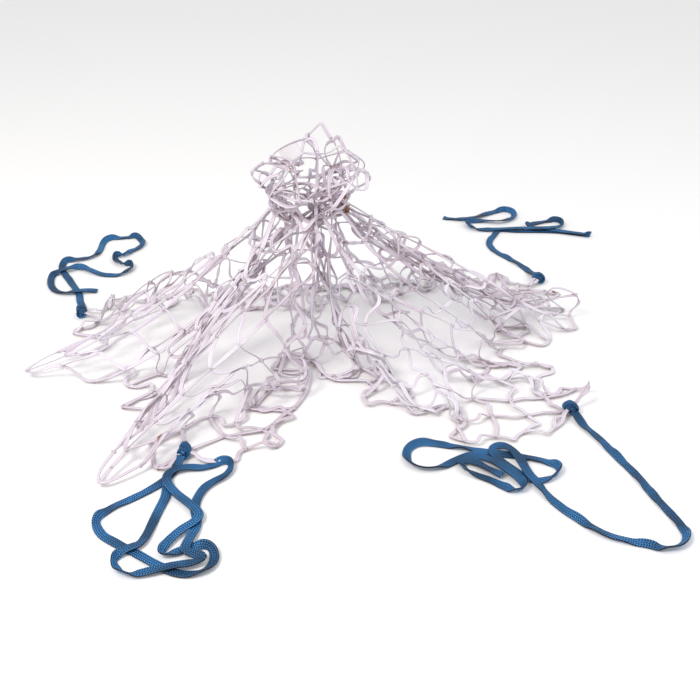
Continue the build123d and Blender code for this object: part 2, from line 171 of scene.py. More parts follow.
def makeNetCord():
    material, tree, shader = newMaterial("braided_white_nylon")
    strand, groove = braidPattern(tree, netLook["repeat"], netLook["rows"], netLook["width"])
    place = addNode(tree, "ShaderNodeTexCoord").outputs["Object"]
    patches = addNode(tree, "ShaderNodeTexNoise", {"Vector": place, "Scale": netLook["patchScale"],
                                                   "Detail": 3.0}).outputs[0]
    base = ramp(tree, patches, [(0.38, netLook["handled"]), (0.62, netLook["clean"])])
    # painted shade: grey-pink darkening where cords lie close together, found by ambient occlusion
    heap = addNode(tree, "ShaderNodeAmbientOcclusion", {"Distance": netLook["shadeReach"]},
                   samples=6).outputs["AO"]
    close = addNode(tree, "ShaderNodeMapRange", {0: heap, 1: 0.12, 2: 0.72, 3: 0.8, 4: 0.0}).outputs[0]
    shadedBase = addNode(tree, "ShaderNodeMix", {0: close, 6: base, 7: linear(netLook["heapShade"])},
                    data_type="RGBA").outputs[2]
    # a few small rust-brown spots
    spots = addNode(tree, "ShaderNodeTexNoise", {"Vector": place, "Scale": netLook["spotScale"],
                                                 "Detail": 2.0}).outputs[0]
    spots = addNode(tree, "ShaderNodeMapRange", {0: spots, 1: 0.735, 2: 0.77}).outputs[0]
    colour = addNode(tree, "ShaderNodeMix", {0: spots, 6: shadedBase, 7: linear(netLook["stain"])},
                     data_type="RGBA").outputs[2]
    # painted shade: the colour is darkened along the braid's middle groove, on the cord's edges and a little
    # between strands
    shade = addNode(tree, "ShaderNodeMapRange", {0: strand, 3: 0.86, 4: 1.0}).outputs[0]
    shade = addNode(tree, "ShaderNodeMath", {0: shade, 1: groove}, operation="MULTIPLY").outputs[0]
    shade = addNode(tree, "ShaderNodeMapRange", {0: shade, 1: 0.2, 2: 0.9, 3: 0.62, 4: 1.0}).outputs[0]
    toned = addNode(tree, "ShaderNodeMix", {0: 1.0, 6: colour, 7: shade},
                    data_type="RGBA", blend_type="MULTIPLY").outputs[2]
    height = addNode(tree, "ShaderNodeMath", {0: strand, 1: groove}, operation="MULTIPLY").outputs[0]
    bump = addNode(tree, "ShaderNodeBump", {"Height": height, "Strength": 0.7,
                                            "Distance": netLook["bump"]}).outputs[0]
    tree.links.new(toned, shader.inputs["Base Color"])
    tree.links.new(bump, shader.inputs["Normal"])
    shader.inputs["Roughness"].default_value = netLook["rough"]
    shader.inputs["IOR"].default_value = netLook["ior"]
    shader.inputs["Sheen Weight"].default_value = netLook["sheen"]
    shader.inputs["Sheen Roughness"].default_value = 0.4
    shader.inputs["Subsurface Weight"].default_value = netLook["seeThrough"]
    shader.inputs["Subsurface Radius"].default_value = (0.004, 0.0032, 0.003)
    shader.inputs["Subsurface Scale"].default_value = 0.6
    return material


# Blue polyester webbing, braided flat and hollow. Lighter filler strands show in the dark ones as rows of
# small V's;
# its grooves and the edges where the strands turn under are darkened nearly black by painted shade.
tieLook = {"dark": "#010A20", "mid": "#053E7C", "light": "#46A4E6", "edge": "#01060F",
           "rough": 0.5, "ior": 1.57, "specular": 0.3,
           "width": 15.0, "rows": 4, "repeat": 3.8,     # mm across, lengthwise rows, mm for one braid repeat
           "edgeFrom": 6.6, "edgeTo": 7.9,              # mm from the middle, where the dark edge sets in
           "fibreScale": 900.0, "wearScale": 13.0,      # per metre: fibres of 1 mm, worn stretches of 8 cm
           "bump": 0.0006}                              # metres


def makeTieBraid():
    material, tree, shader = newMaterial("braided_blue_polyester")
    strand, groove = braidPattern(tree, tieLook["repeat"], tieLook["rows"], tieLook["width"])
    place = addNode(tree, "ShaderNodeTexCoord").outputs["Object"]
    fibre = addNode(tree, "ShaderNodeTexNoise", {"Vector": place, "Scale": tieLook["fibreScale"],
                                                 "Detail": 2.0}).outputs[0]
    wear = addNode(tree, "ShaderNodeTexNoise", {"Vector": place, "Scale": tieLook["wearScale"],
                                                "Detail": 3.0}).outputs[0]
    lift = addNode(tree, "ShaderNodeMath", {0: strand, 1: groove}, operation="MULTIPLY").outputs[0]
    lift = addNode(tree, "ShaderNodeMath", {0: lift, 1: fibre}, operation="ADD").outputs[0]
    base = ramp(tree, addNode(tree, "ShaderNodeMapRange", {0: lift, 1: 0.35, 2: 1.5}).outputs[0],
                [(0.0, tieLook["dark"]), (0.45, tieLook["mid"]), (1.0, tieLook["light"])])
    # painted shade: near-black mixed in on the braid's edges and in its grooves, over the yarn colours
    uv = addNode(tree, "ShaderNodeUVMap", uv_map="braid")
    axes = addNode(tree, "ShaderNodeSeparateXYZ", {0: uv.outputs[0]})
    side = addNode(tree, "ShaderNodeMath", {0: axes.outputs[1]}, operation="ABSOLUTE").outputs[0]
    onEdge = addNode(tree, "ShaderNodeMapRange", {0: side, 1: tieLook["edgeFrom"], 2: tieLook["edgeTo"],
                                                  3: 0.0, 4: 0.85}).outputs[0]
    inGroove = addNode(tree, "ShaderNodeMapRange", {0: groove, 1: 0.25, 2: 1.0, 3: 0.97, 4: 0.0}).outputs[0]
    edgeAndGrooveShade = addNode(tree, "ShaderNodeMath", {0: onEdge, 1: inGroove}, operation="MAXIMUM").outputs[0]
    edged = addNode(tree, "ShaderNodeMix", {0: edgeAndGrooveShade, 6: base, 7: linear(tieLook["edge"])},
                    data_type="RGBA").outputs[2]
    tone = addNode(tree, "ShaderNodeMapRange", {0: wear, 1: 0.38, 2: 0.6, 3: 0.45, 4: 1.1}).outputs[0]
    toned = addNode(tree, "ShaderNodeMix", {0: 1.0, 6: edged, 7: tone},
                    data_type="RGBA", blend_type="MULTIPLY").outputs[2]
    height = addNode(tree, "ShaderNodeMath", {0: strand, 1: groove}, operation="MULTIPLY").outputs[0]
    bump = addNode(tree, "ShaderNodeBump", {"Height": height, "Strength": 0.8,
                                            "Distance": tieLook["bump"]}).outputs[0]
    tree.links.new(toned, shader.inputs["Base Color"])
    tree.links.new(bump, shader.inputs["Normal"])
    shader.inputs["Roughness"].default_value = tieLook["rough"]
    shader.inputs["IOR"].default_value = tieLook["ior"]
    shader.inputs["Specular IOR Level"].default_value = tieLook["specular"]
    return material


# Woven label tape, satin weave: a fine crosswise grain, a bit shinier than the cord.
labelLook = {"cloth": "#E6E1E4", "thread": "#BDB6BC", "rough": 0.42, "ior": 1.57, "sheen": 0.15,
             "waves": 0.7, "bump": 0.0001}              # waves per UV millimetre, metres


def makeLabelCloth():
    material, tree, shader = newMaterial("woven_label_tape")
    uv = addNode(tree, "ShaderNodeUVMap", uv_map="braid")
    weave = addNode(tree, "ShaderNodeTexWave", {"Vector": uv.outputs[0], "Scale": labelLook["waves"],
                                                "Distortion": 0.3}, bands_direction="Y").outputs[1]
    base = ramp(tree, weave, [(0.2, labelLook["thread"]), (0.6, labelLook["cloth"])])
    bump = addNode(tree, "ShaderNodeBump", {"Height": weave, "Strength": 0.4,
                                            "Distance": labelLook["bump"]}).outputs[0]
    tree.links.new(base, shader.inputs["Base Color"])
    tree.links.new(bump, shader.inputs["Normal"])
    shader.inputs["Roughness"].default_value = labelLook["rough"]
    shader.inputs["IOR"].default_value = labelLook["ior"]
    shader.inputs["Sheen Weight"].default_value = labelLook["sheen"]
    return material


netCord = makeNetCord()
tieBraid = makeTieBraid()
labelCloth = makeLabelCloth()
print("scene: materials made")

# Each tie is one flat braid. Points are millimetres from the middle of its knot: x, y and the
# height of the braid's middle. The first ones leave the knot, then it lies on the floor and
# folds over itself in a loose bunch.

tieShape = {"width": tieLook["width"] / 1000, "thick": 0.003, "step": 0.0015, "around": 28,
            "rib": 0.00035, "teeth": 0.00025, "clear": 0.0004,
            "leave": 0.016, "bend": 0.030, "dip": 0.003,    # the first two points, out of the hitch
            "untwisted": 0.03,                              # the roll grows from none over this length
            "tilt": 20.0, "edgeOn": 62.0,                   # degrees
            "layer": 0.0034, "heap": 0.017}                 # one strand over another, the highest heap
ties = {
    "front_left": dict(lean=258, seed=3, tail=[
        (-11, -47), (-31, -82), (-63, -112), (-97, -138), (-112, -168), (-98, -197), (-70, -218),
        (-40, -236)],
        bunch=[(-1, -267, 5), (33, -284, 2), (67, -282, 2), (81, -255, 2), (71, -226, 3), (46, -223, 4),
               (18, -241, 5), (1, -249, 6), (0, -228, 6), (20, -193, 5), (42, -175, 7), (46, -157, 9),
               (26, -133, 9), (1, -108, 9), (-19, -78, 7), (-19, -52, 5), (5, -37, 4), (38, -36, 3),
               (65, -17, 3), (81, -26, 4), (76, -56, 6), (47, -80, 5), (35, -109, 4), (34, -140, 3),
               (45, -173, 3), (37, -212, 8), (32, -240, 9), (50, -245, 8), (65, -255, 8), (54, -264, 8),
               (17, -272, 8), (-22, -285, 5), (-48, -286, 4), (-66, -261, 4), (-61, -242, 7),
               (-45, -232, 8), (-32, -220, 5), (-26, -189, 3), (-20, -142, 3), (-13, -107, 4),
               (-17, -82, 4)]),
    "front_right": dict(lean=286, seed=5, tail=[
        (18, -50), (36, -84), (50, -128), (72, -180), (86, -238), (103, -286), (112, -324), (100, -352),
        (74, -362), (48, -350), (22, -342), (-6, -331), (-32, -306), (-58, -274), (-78, -240), (-92, -204)],
        bunch=[(-103, -188, 9), (-111, -145, 11), (-123, -116, 10), (-140, -107, 8), (-152, -116, 6),
               (-150, -136, 6), (-135, -158, 6), (-116, -183, 5), (-96, -199, 3), (-71, -195, 2),
               (-53, -184, 2), (-48, -163, 2), (-64, -147, 2), (-100, -134, 3), (-160, -122, 4),
               (-221, -102, 2), (-264, -93, 2), (-293, -113, 2), (-295, -147, 2), (-275, -168, 2),
               (-246, -168, 2), (-220, -148, 3), (-195, -132, 5), (-171, -137, 7), (-145, -162, 9),
               (-125, -191, 11), (-109, -213, 6), (-121, -229, 3), (-138, -219, 3), (-162, -196, 3),
               (-191, -180, 3), (-208, -166, 4), (-205, -148, 5), (-186, -151, 7), (-166, -171, 8),
               (-144, -191, 9)]),
    "back_left": dict(lean=102, seed=8, tail=[(-9, 42), (-18, 60), (-24, 84), (-32, 106)],
        bunch=[(-70, 171, 3), (-100, 224, 5), (-99, 265, 6), (-66, 270, 6), (-36, 291, 4), (-32, 327, 3),
               (-36, 368, 3), (-20, 394, 2), (15, 400, 2), (40, 406, 2), (64, 368, 3), (56, 334, 5),
               (39, 315, 6), (32, 289, 5), (12, 297, 4), (12, 275, 4), (29, 245, 5), (50, 247, 7),
               (62, 237, 4), (58, 202, 3), (33, 189, 2), (1, 192, 3), (-27, 209, 7), (-55, 226, 9),
               (-79, 214, 10), (-99, 202, 8), (-110, 183, 5), (-103, 144, 4), (-86, 112, 3), (-61, 98, 5),
               (-35, 102, 8), (-11, 111, 6), (8, 110, 4)]),
    "back_right": dict(lean=104, seed=13, tail=[
        (-12, 50), (-24, 82), (-48, 120), (-74, 158), (-86, 196), (-78, 230), (-62, 262), (-52, 290)],
        bunch=[(-12, 279, 3), (42, 281, 2), (102, 275, 2), (153, 257, 2), (170, 246, 4), (156, 254, 6),
               (101, 272, 6), (51, 291, 6), (11, 306, 5), (58, 336, 3), (101, 349, 3), (116, 321, 4),
               (89, 286, 8), (39, 281, 10), (-19, 286, 8), (-83, 283, 4), (-126, 298, 3), (-124, 336, 3),
               (-86, 344, 5), (-38, 330, 8), (-1, 361, 6), (2, 399, 4), (-26, 415, 3), (-65, 390, 5),
               (-110, 352, 7), (-150, 353, 4), (-180, 364, 2)]),
}


def tiePoints(corner, tie):
    low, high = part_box("tie_knot_" + corner)
    base = np.array((low + high) / 2)
    lean = math.radians(tie["lean"])
    way = np.array([math.cos(lean), math.sin(lean), 0.0])
    points = [base + way * tieShape["leave"], base + way * tieShape["bend"] - [0, 0, tieShape["dip"]]]
    floorLevel = tieShape["thick"] / 2 + tieShape["clear"]
    points += [np.array([base[0] + x / 1000, base[1] + y / 1000, floorLevel + tieShape["clear"]])
               for x, y in tie["tail"]]
    points += [np.array([base[0] + x / 1000, base[1] + y / 1000, max(z / 1000, floorLevel)])
               for x, y, z in tie["bunch"]]
    return base, way, np.array(points)


def splineWeights(count, per):
    # how much each control point counts along a clamped quadratic spline, the one NURBS uses
    knots = np.concatenate([[0, 0], np.arange(count - 1), [count - 2, count - 2]]).astype(float)
    at = np.linspace(0, count - 2, (count - 2) * per + 1)
    at[-1] -= 1e-9
    weights = [((at >= a) & (at < b)).astype(float) for a, b in zip(knots, knots[1:])]
    for degree in (1, 2):
        raised = []
        for k in range(len(weights) - 1):
            left = knots[k + degree] - knots[k]
            right = knots[k + degree + 1] - knots[k + 1]
            part = np.zeros(len(at))
            if left > 0:
                part += (at - knots[k]) / left * weights[k]
            if right > 0:
                part += (knots[k + degree + 1] - at) / right * weights[k + 1]
            raised.append(part)
        weights = raised
    return np.array(weights).T


# How crossing strands are laid over each other. "near" is a share of the braid's width, "apart" is
# metres along the tie, and "share" is how much of a missing lift is made up in each round.
restRule = {"near": 0.8, "apart": 0.045, "rounds": 50, "most": 0.002, "enough": 0.0002, "share": 0.4,
            "touching": 0.001, "held": 3}


def restOverItself(points):
    # where a strand crosses another, the one drawn higher is lifted clear in a long low hump
    weights = splineWeights(len(points), 8)
    line = weights @ points
    run = alongPath(line)
    flat = np.linalg.norm(line[:, None, :2] - line[None, :, :2], axis=2)
    over = (flat < restRule["near"] * tieShape["width"])
    over &= np.abs(run[:, None] - run[None]) > restRule["apart"]
    over &= (line[:, None, 2] - line[None, :, 2] + 1e-6 * (run[:, None] - run[None])) > 0
    for turn in range(restRule["rounds"]):
        line = weights @ points
        short = np.where(over, tieShape["layer"] - (line[:, None, 2] - line[None, :, 2]), 0)
        lift = np.clip(short, 0, restRule["most"]).max(axis=1)
        if lift.max() < restRule["enough"]:
            break
        rise = restRule["share"] * (weights * lift[:, None]).max(axis=0)
        rise[:restRule["held"]] = 0      # it leaves the hitch where the hitch lets it out
        points[:, 2] = np.minimum(points[:, 2] + rise, np.maximum(points[:, 2], tieShape["heap"]))
    return points, int((lift > restRule["touching"]).sum())


def splineLine(name, points):
    # the tie's own line: a smooth spline through its bends, without any thickness
    data = bpy.data.curves.new(name + "_line", "CURVE")
    data.dimensions = "3D"
    data.resolution_u = 12
    spline = data.splines.new("NURBS")
    spline.points.add(len(points) - 1)
    for point, place in zip(spline.points, points):
        point.co = (*place, 1.0)
    spline.order_u = 3
    spline.use_endpoint_u = True
    holder = bpy.data.objects.new(name + "_line", data)
    bpy.context.scene.collection.objects.link(holder)
    bpy.context.view_layer.update()
    mesh = bpy.data.meshes.new_from_object(holder.evaluated_get(bpy.context.evaluated_depsgraph_get()))
    line = np.array([v.co for v in mesh.vertices])
    bpy.data.objects.remove(holder)
    bpy.data.meshes.remove(mesh)
    return line


def evenSteps(line, step):
    run = alongPath(line)
    count = max(2, int(round(run[-1] / step)))
    at = np.linspace(0, run[-1], count + 1)
    return np.stack([np.interp(at, run, line[:, c]) for c in range(3)], axis=1), at


def smoothed(values, reach):
    kernel = np.hanning(2 * reach + 1)
    padded = np.pad(values, reach, mode="edge")
    return np.convolve(padded, kernel / kernel.sum(), mode="valid")


def braidProfile(width, thick, rows, around, groove=0.16):
    # flat section with round edges; each row stands up a little between its grooves
    half, edge = width / 2, thick / 2
    turn = np.linspace(0, 2 * np.pi, around, endpoint=False)
    power = 2 / 3.4                      # between an ellipse, 2 / 2, and a box, 0
    across = np.sign(np.cos(turn)) * np.abs(np.cos(turn)) ** power * half
    out = np.sign(np.sin(turn)) * np.abs(np.sin(turn)) ** power * edge
    row = np.abs(np.sin(np.pi * rows * (across + half) / width))
    face = np.clip(1 - (np.abs(across) / half) ** 4, 0, 1)
    out = out * (1 - groove * (1 - row) * face)
    return across, out


def braidRibbon(line, roll, width, thick, rows, rib, repeat, around):
    # rings of the section along the line; ribs slant in V's across each pair of rows
    tangent = unit(np.gradient(line, axis=0))
    up = np.zeros_like(tangent) + [0, 0, 1.0]
    side = np.cross(tangent, up)
    steep = np.linalg.norm(side, axis=1) < 0.15
    side[steep] = np.cross(tangent[steep], [0.3, 1.0, 0.1])
    side = unit(side)
    normal = unit(np.cross(side, tangent))
    w = side * np.cos(roll)[:, None] + normal * np.sin(roll)[:, None]
    n = normal * np.cos(roll)[:, None] - side * np.sin(roll)[:, None]
    across, out = braidProfile(width, thick, rows, around)
    run = alongPath(line)
    rowPlace = (across / width + 0.5) * rows
    fold = np.abs((rowPlace % 2) - 1)
    phase = run[:, None] * 1000 / repeat + 0.9 * fold[None]
    ribs = rib * (0.5 + 0.5 * np.sin(2 * np.pi * phase))
    push = np.sign(out)[None] * ribs * np.clip(np.abs(out) / (thick / 2), 0, 1)[None]
    teeth = tieShape["teeth"] * np.sin(2 * np.pi * run[:, None] * 1000 / repeat)
    teeth = teeth * (np.abs(across) / (width / 2))[None] ** 6
    a = across[None] + np.sign(across)[None] * teeth
    o = out[None] + push
    points = line[:, None] + w[:, None] * a[..., None] + n[:, None] * o[..., None]
    uvs = np.stack([np.repeat(run[:, None] * 1000, around, 1),
                    np.repeat(across[None] * 1000, len(line), 0)], axis=-1)
    return points.reshape(-1, 3), uvs.reshape(-1, 2)


# Rolling of the braid: long slow waves, and the bends (1 / m) and room (m) that stand it on edge.
rollRule = {"waves": 4, "shortest": 0.05, "longest": 0.16, "spread": 2.2, "calm": 0.35,
            "bendFrom": 14, "bendRange": 22, "roomFrom": 0.014, "roomRange": 0.008, "apart": 0.05}


def rollAlong(line, at, seed):
    # the braid mostly lies flat; in a tight bend with room around it, it stands up on its edge
    rng = random.Random(seed)
    waves = [(rng.uniform(rollRule["shortest"], rollRule["longest"]), rng.uniform(0, fullTurn),
              rng.uniform(0.4, 1.0)) for k in range(rollRule["waves"])]
    tilt = sum(size * np.sin(2 * np.pi * at / period + shift) for period, shift, size in waves)
    tilt = tilt / rollRule["spread"]
    roll = math.radians(tieShape["tilt"]) * tilt
    tangent = unit(np.gradient(line, axis=0))
    heading = np.unwrap(np.arctan2(tangent[:, 1], tangent[:, 0]))
    bend = smoothed(np.gradient(heading, at), 8)
    flat = np.linalg.norm(line[:, None, :2] - line[None, ::3, :2], axis=2)
    farAlong = np.abs(at[:, None] - at[None, ::3]) > rollRule["apart"]
    near = np.where(farAlong, flat, 9).min(axis=1)
    room = np.clip((smoothed(near, 6) - rollRule["roomFrom"]) / rollRule["roomRange"], 0, 1)
    stand = np.clip((np.abs(bend) - rollRule["bendFrom"]) / rollRule["bendRange"], 0, 1) * np.sign(bend)
    full = math.radians(tieShape["edgeOn"])
    loose = rollRule["calm"] + (1 - rollRule["calm"]) * room
    return smoothed(roll * loose + full * stand * room, 10)


def makeTie(corner, tie):
    base, way, points = tiePoints(corner, tie)
    points, left = restOverItself(points)
    line, at = evenSteps(splineLine("tie_" + corner, points), tieShape["step"])
    roll = rollAlong(line, at, tie["seed"])
    roll = roll * np.clip(at / tieShape["untwisted"], 0, 1)
    need = np.abs(np.sin(roll)) * tieShape["width"] / 2
    need = need + np.cos(roll) * (tieShape["thick"] / 2 + tieShape["clear"]) + floorGap
    line[:, 2] = smoothed(np.maximum(line[:, 2], need), 6)
    line[:, 2] = np.maximum(line[:, 2], need)
    points, uvs = braidRibbon(line, roll, tieShape["width"], tieShape["thick"], tieLook["rows"],
                              tieShape["rib"], tieLook["repeat"], tieShape["around"])
    obj = meshObject("tie_" + corner, points, tubeFaces(len(line), tieShape["around"]), tieBraid, uvs)
    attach(obj, "root")
    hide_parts("tie_tail_" + corner, "tie_hank_" + corner)
    return base, way


# The hitch that holds a tie: the braid, pinched narrower, is wound round the corner of the net
# and once across its own turns.
hitchShape = {"width": 0.0105, "thick": 0.0034, "rows": 3, "around": 20,
              "inner": 0.0078, "outer": 0.0104, "wobble": 0.0004,
              "turns": 2.6, "long": 0.0205, "steps": 150,
              "bandTurns": 1.05, "bandReach": 0.0085, "bandSteps": 90,
              "core": 0.0066, "coreReach": 0.0145, "coreRings": 11, "coreAround": 16}


def makeHitch(corner, base, way, seed):
    rng = random.Random(seed)
    sideWay = np.cross([0, 0, 1.0], way)
    share = np.linspace(0, 1, hitchShape["steps"])
    angle = 2 * np.pi * hitchShape["turns"] * share + rng.uniform(0, fullTurn)
    radius = hitchShape["inner"] + hitchShape["wobble"] * np.sin(3 * angle)
    reach = (share - 0.5) * hitchShape["long"]
    coil = (base + way * reach[:, None] + sideWay * (radius * np.cos(angle))[:, None]
            + np.array([0, 0, 1.0]) * (radius * np.sin(angle))[:, None])
    share = np.linspace(0, 1, hitchShape["bandSteps"])
    angle = 2 * np.pi * hitchShape["bandTurns"] * share + rng.uniform(0, fullTurn)
    over = (hitchShape["outer"] - hitchShape["inner"]) * np.sin(np.pi * share) ** 0.5
    radius = hitchShape["inner"] + over
    reach = hitchShape["bandReach"] * np.cos(np.pi * share)
    band = (base + way * reach[:, None] + sideWay * (radius * np.cos(angle))[:, None]
            + np.array([0, 0, 1.0]) * (radius * np.sin(angle))[:, None])
    points, faces, uvs = [], [], []
    around = hitchShape["around"]
    for line in (coil, band):
        tangent = unit(np.gradient(line, axis=0))
        fromAxis = line - base
        fromAxis = fromAxis - way * (fromAxis @ way)[:, None]
        normal = unit(fromAxis)
        w = unit(np.cross(tangent, normal))
        across, out = braidProfile(hitchShape["width"], hitchShape["thick"], hitchShape["rows"], around)
        ring = line[:, None] + w[:, None] * across[None, :, None] + normal[:, None] * out[None, :, None]
        first = sum(len(p) for p in points)
        points.append(ring.reshape(-1, 3))
        run = alongPath(line)
        uvs.append(np.stack([np.repeat(run[:, None] * 1000, around, 1),
                             np.repeat(across[None] * 1000, len(line), 0)], axis=-1).reshape(-1, 2))
        faces += tubeFaces(len(line), around, first)
    # the corner loop of the net and the braid's own start fill the middle
    first = sum(len(p) for p in points)
    ringCount, sides, half = hitchShape["coreRings"], hitchShape["coreAround"], hitchShape["coreReach"]
    rings = np.linspace(-1, 1, ringCount)
    angle = np.linspace(0, 2 * np.pi, sides, endpoint=False)
    core = []
    for r in rings:
        size = hitchShape["core"] * math.sqrt(max(0.02, 1 - r ** 4))
        core.append(base + way * r * half + sideWay * (size * np.cos(angle))[:, None]
                    + np.array([0, 0, 1.0]) * (size * np.sin(angle))[:, None])
    points.append(np.array(core).reshape(-1, 3))
    uvs.append(np.stack([np.repeat(rings[:, None] * half * 1000, sides, 1),
                         np.repeat(angle[None], ringCount, 0)], axis=-1).reshape(-1, 2))
    faces += tubeFaces(ringCount, sides, first)
    points = np.concatenate(points)
    points[:, 2] = np.maximum(points[:, 2], floorGap)
    obj = meshObject("hitch_" + corner, points, faces, tieBraid, np.concatenate(uvs))
    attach(obj, "root")
    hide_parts("tie_knot_" + corner)


for corner, tie in ties.items():
    base, way = makeTie(corner, tie)
    makeHitch(corner, base, way, tie["seed"])


def looseParts(node):
    # middles of a node's separate solids
    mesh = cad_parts[node].data
    co = np.empty(len(mesh.vertices) * 3)
    mesh.vertices.foreach_get("co", co)
    co = co.reshape(-1, 3)
    same, parent = {}, []
    index = []
    for p in np.round(co * 1e5).astype(np.int64):
        key = tuple(p)
        if key not in same:
            same[key] = len(parent)
            parent.append(len(parent))
        index.append(same[key])

    def top(k):
        while parent[k] != k:
            parent[k] = parent[parent[k]]
            k = parent[k]
        return k

    for polygon in mesh.polygons:
        corners = [top(index[v]) for v in polygon.vertices]
        for c in corners[1:]:
            parent[top(c)] = top(corners[0])
    groups = {}
    for vertex, k in enumerate(index):
        groups.setdefault(top(k), []).append(vertex)
    return [(co[g].min(axis=0) + co[g].max(axis=0)) / 2 for g in groups.values()]


# The rim of a bar's end lies this far from the middle of its knot in the CAD net.
barEnd = {"reach": 0.00508, "slack": 0.00006}


def findKnots():
    # which cord each knot sits on is read from the bars' ends around it
    middles = looseParts("net_knots")
    cornerPlace = {}
    for corner, at in (("front_left", (0, 0)), ("front_right", (cells, 0)), ("back_left", (0, cells)),
                       ("back_right", (cells, cells))):
        low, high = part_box("tie_knot_" + corner)
        cornerPlace[at] = np.array((low + high) / 2)
    middles = np.array(middles)
    counts = {}
    for way in ("lengthwise", "crosswise"):
        table = np.zeros((len(middles), cells + 1))
        for number in range(cells + 1):
            kind = "edge" if number in (0, cells) else "cord"
            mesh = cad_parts[f"{kind}_{way}_{number:02d}"].data
            co = np.empty(len(mesh.vertices) * 3)
            mesh.vertices.foreach_get("co", co)
            co = co.reshape(-1, 3)
            far = np.linalg.norm(middles[:, None] - co[None], axis=2)
            table[:, number] = (np.abs(far - barEnd["reach"]) < barEnd["slack"]).sum(axis=1)
        counts[way] = table.argmax(axis=1)
    grid = {}
    for place, i, j in zip(middles, counts["lengthwise"], counts["crosswise"]):
        if (int(i), int(j)) in grid:
            print("scene: two knots at", i, j)
        grid[(int(i), int(j))] = place
    grid.update(cornerPlace)
    missing = [(i, j) for i in range(cells + 1) for j in range(cells + 1) if (i, j) not in grid]
    print("scene: knots", len(middles), "missing", missing[:6])
    return grid


knots = findKnots()
print("scene: knots found")

# Every bar aims at one length. Where its knots lie closer than that, it bows out; most bows
# hang down, some stick out sideways, and on the floor they lie flat.
cordShape = {"width": netLook["width"] / 1000, "thick": 0.0025, "bar": 0.066, "segments": 14, "around": 14,
             "groove": 0.45, "clear": 0.0004,
             "twist": 0.7, "roll": 0.5,                 # radians
             "sag": 0.55, "longest": 0.022, "softness": 1.9, "leastPull": 0.6, "tries": 12,
             "skew": 0.25, "round": 1.3, "wander": 0.0016, "stray": 0.006,
             "crownRings": 4, "outward": 1.6,           # bows in the crown point away from its middle
             "nearFloor": 0.02, "floorRise": 0.15, "floorThrough": 0.3,
             "lieFlat": 0.012, "flatRoll": 0.2}         # below this height a cord lies on its flat side
crownAxis = np.mean([knots[(cells // 2 + a, cells // 2 + b)] for a in (-2, 0, 2) for b in (-2, 0, 2)], axis=0)


def bowedBar(start, end, leave, arrive, rng, ring):
    # a soft curve that leaves and meets its knots in the cord's own direction, pulled out until
    # it is as long as the bar; what length is left over goes into one bow to the side
    gap = end - start
    chord = float(np.linalg.norm(gap))
    along = gap / chord
    t = np.linspace(0, 1, cordShape["segments"] + 1)[:, None]
    fromStart = (2 * t ** 3 - 3 * t ** 2 + 1) * start + (3 * t ** 2 - 2 * t ** 3) * end
    bends = (t ** 3 - 2 * t ** 2 + t) * leave + (t ** 3 - t ** 2) * arrive
    least = cordShape["leastPull"] * chord
    most = max(least, cordShape["softness"] * cordShape["bar"])
    for tries in range(cordShape["tries"]):
        pull = (least + most) / 2
        if alongPath(fromStart + pull * bends)[-1] < cordShape["bar"]:
            least = pull
        else:
            most = pull
    line = fromStart + least * bends
    t = t[:, 0]
    length = float(alongPath(line)[-1])
    slack = max(0.0, cordShape["bar"] / length - 1)
    bow = min(2 * chord / math.pi * math.sqrt(slack), cordShape["longest"])
    low = min(start[2], end[2])
    aim = np.array([rng.gauss(0, 1), rng.gauss(0, 1), rng.gauss(0, 0.7)])
    aim[2] -= cordShape["sag"] * 2
    if low < cordShape["nearFloor"]:
        aim[2] = cordShape["floorRise"]
    if ring <= cordShape["crownRings"]:
        out = (start + end) / 2 - crownAxis
        aim += cordShape["outward"] * out / (np.linalg.norm(out) + 1e-6)
    aim = aim - along * (aim @ along)
    aim /= np.linalg.norm(aim) + 1e-9
    other = np.cross(along, aim)
    skew = rng.uniform(-cordShape["skew"], cordShape["skew"])
    shape = np.sin(np.pi * t) ** cordShape["round"] * (1 + skew * np.sin(2 * np.pi * t))
    wander = cordShape["wander"] * rng.uniform(-1, 1) * np.sin(2 * np.pi * t)
    line = line + aim * (bow * shape)[:, None] + other * wander[:, None]
    turn = rng.gauss(0, cordShape["roll"]) + cordShape["twist"] * rng.uniform(-1, 1) * (t - 0.5) * 2
    return line, turn


def cordRing(line, turn):
    tangent = unit(np.gradient(line, axis=0))
    up = np.array([0, 0, 1.0]) if abs(tangent[len(tangent) // 2, 2]) < 0.85 else np.array([1.0, 0, 0])
    side = unit(np.cross(tangent, up))
    normal = unit(np.cross(side, tangent))
    w = side * np.cos(turn)[:, None] + normal * np.sin(turn)[:, None]
    n = normal * np.cos(turn)[:, None] - side * np.sin(turn)[:, None]
    return w, n


